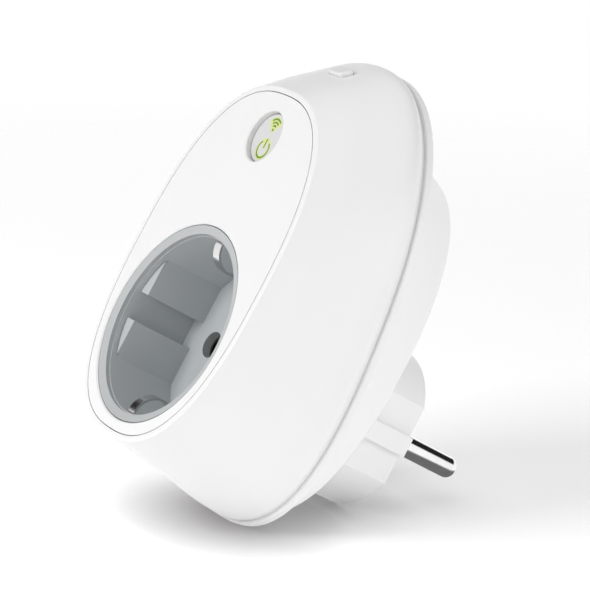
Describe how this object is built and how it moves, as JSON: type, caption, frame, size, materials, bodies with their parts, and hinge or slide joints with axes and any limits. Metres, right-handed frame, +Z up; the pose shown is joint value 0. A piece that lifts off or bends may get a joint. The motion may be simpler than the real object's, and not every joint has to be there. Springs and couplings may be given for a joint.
{
  "type": "smart plug",
  "caption": "Oval Wi-Fi switched mains adapter: round earthed plug behind, recessed earthed socket in front, lit push button and a small top button.",
  "frame": {"origin": "midway between the two plug pins, on the plug's end face", "axes": "+Y along the pins, towards the wall; +Z up, from the plug towards the button; +X to the right as the user faces the socket"},
  "size_m": [0.0664, 0.077, 0.1003],
  "materials": {
    "white_shell": "satin-gloss white polycarbonate",
    "grey_trim": "satin light grey plastic",
    "dark_insert": "fine-textured blue-grey thermoplastic",
    "earth_metal": "nickel-plated spring brass",
    "pin_metal": "polished nickel plate on brass",
    "contact_brass": "bright spring brass",
    "busbar_copper": "tinned copper strip",
    "carrier_plastic": "glass-filled black nylon",
    "button_face": "satin pale grey plastic",
    "icon_lens": "translucent lime light guide",
    "settings_cap": "satin white plastic",
    "switch_body": "black moulded plastic",
    "switch_plunger": "brown plastic",
    "circuit_board": "green solder resist",
    "shield_metal": "tin-plated steel can",
    "led": "clear resin over a green die",
    "relay_case": "blue relay case",
    "relay_iron": "zinc-plated soft iron",
    "coil_winding": "enamelled copper wire",
    "relay_contact": "silver alloy on copper strip",
    "capacitor_sleeve": "printed-free dark sleeve",
    "x_capacitor_case": "yellow box case",
    "chip_black": "black epoxy",
    "varistor_blue": "blue epoxy dip",
    "fuse_ceramic": "ceramic tube",
    "screw_steel": "zinc-plated steel"
  },
  "bodies": {
    "root": {"board_link": "switch_body", "board_screws": "screw_steel", "bridge_rectifier": "chip_black", "contact_carrier": "carrier_plastic", "control_board": "circuit_board", "earth_bridge": "earth_metal", "filter_capacitors": "capacitor_sleeve", "front_housing": "white_shell", "front_plate": "white_shell", "fuse": "fuse_ceramic", "housing_screws": "screw_steel", "live_busbar": "busbar_copper", "live_contact": "contact_brass", "live_pin": "pin_metal", "lower_earth_strip": "earth_metal", "main_board": "circuit_board", "measuring_shunt": "busbar_copper", "meter_chip": "chip_black", "neutral_busbar": "busbar_copper", "neutral_contact": "contact_brass", "neutral_pin": "pin_metal", "pin_carrier": "carrier_plastic", "power_led": "led", "power_switch": "switch_body", "rear_housing": "white_shell", "relay_base": "relay_case", "relay_coil": "coil_winding", "relay_cover": "relay_case", "relay_fixed_contact": "relay_contact", "relay_yoke": "relay_iron", "safety_capacitor": "x_capacitor_case", "settings_board": "circuit_board", "settings_switch": "switch_body", "socket_insert": "dark_insert", "socket_ring": "grey_trim", "transformer_coil": "coil_winding", "transformer_core": "relay_iron", "upper_earth_strip": "earth_metal", "varistor": "varistor_blue", "wifi_led": "led", "wifi_module": "circuit_board", "wifi_shield": "shield_metal"},
    "power_button": {"power_button": "button_face", "power_icon_lens": "icon_lens", "wifi_icon_lens": "icon_lens"},
    "power_switch_plunger": {"power_switch_plunger": "switch_plunger"},
    "settings_button": {"settings_button": "settings_cap"},
    "settings_switch_plunger": {"settings_switch_plunger": "switch_plunger"},
    "relay_armature": {"relay_armature": "relay_iron"}
  },
  "joints": [
    {"name": "power_button_press", "type": "slide", "parent": "root", "child": "power_button", "axis": [0, 1, 0], "range_m": [0, 0.0006], "stiffness_N_per_m": 3000},
    {"name": "power_switch_press", "type": "slide", "parent": "root", "child": "power_switch_plunger", "axis": [0, 1, 0], "range_m": [0, 0.0006]},
    {"name": "settings_button_press", "type": "slide", "parent": "root", "child": "settings_button", "axis": [0, 0.6428, -0.766], "range_m": [0, 0.0005], "stiffness_N_per_m": 3000},
    {"name": "settings_switch_press", "type": "slide", "parent": "root", "child": "settings_switch_plunger", "axis": [0, 0.6428, -0.766], "range_m": [0, 0.0005]},
    {"name": "relay_armature_hinge", "type": "hinge", "parent": "root", "child": "relay_armature", "pos_m": [-0.0006, -0.03575, 0.0332], "axis": [0, 0, -1], "range_deg": [0, 3], "stiffness_Nm_per_rad": 0.02}
  ],
  "couplings": [
    {"joint": "power_switch_press", "follows": "power_button_press", "ratio": 1},
    {"joint": "settings_switch_press", "follows": "settings_button_press", "ratio": 1}
  ]
}
